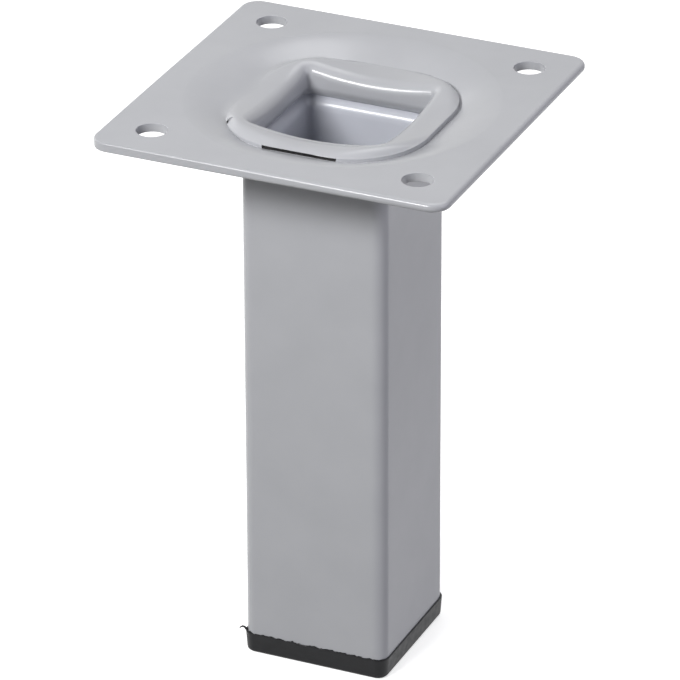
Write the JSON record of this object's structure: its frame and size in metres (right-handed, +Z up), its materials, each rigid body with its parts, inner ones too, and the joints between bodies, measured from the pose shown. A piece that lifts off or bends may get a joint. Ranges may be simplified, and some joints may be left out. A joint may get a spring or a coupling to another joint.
{
  "type": "square metal table leg",
  "caption": "Short square steel furniture leg: a tube flared into a dished mounting plate with corner screw holes, on a black plastic foot cap.",
  "frame": {"origin": "centre of the foot's underside, where the leg stands on the floor", "axes": "+Z up along the tube to the mounting plate; the tube's sides and the plate's edges face X and Y; the slit under the lip is on the -Y side"},
  "size_m": [0.06, 0.06, 0.0965],
  "materials": {
    "plate_paint": "semi-gloss silver-grey paint",
    "tube_paint": "semi-gloss silver-grey paint",
    "black_plastic": "satin moulded plastic"
  },
  "bodies": {
    "root": {"mounting_plate": "plate_paint", "leg_tube": "tube_paint", "foot_cap": "black_plastic"}
  },
  "joints": []
}
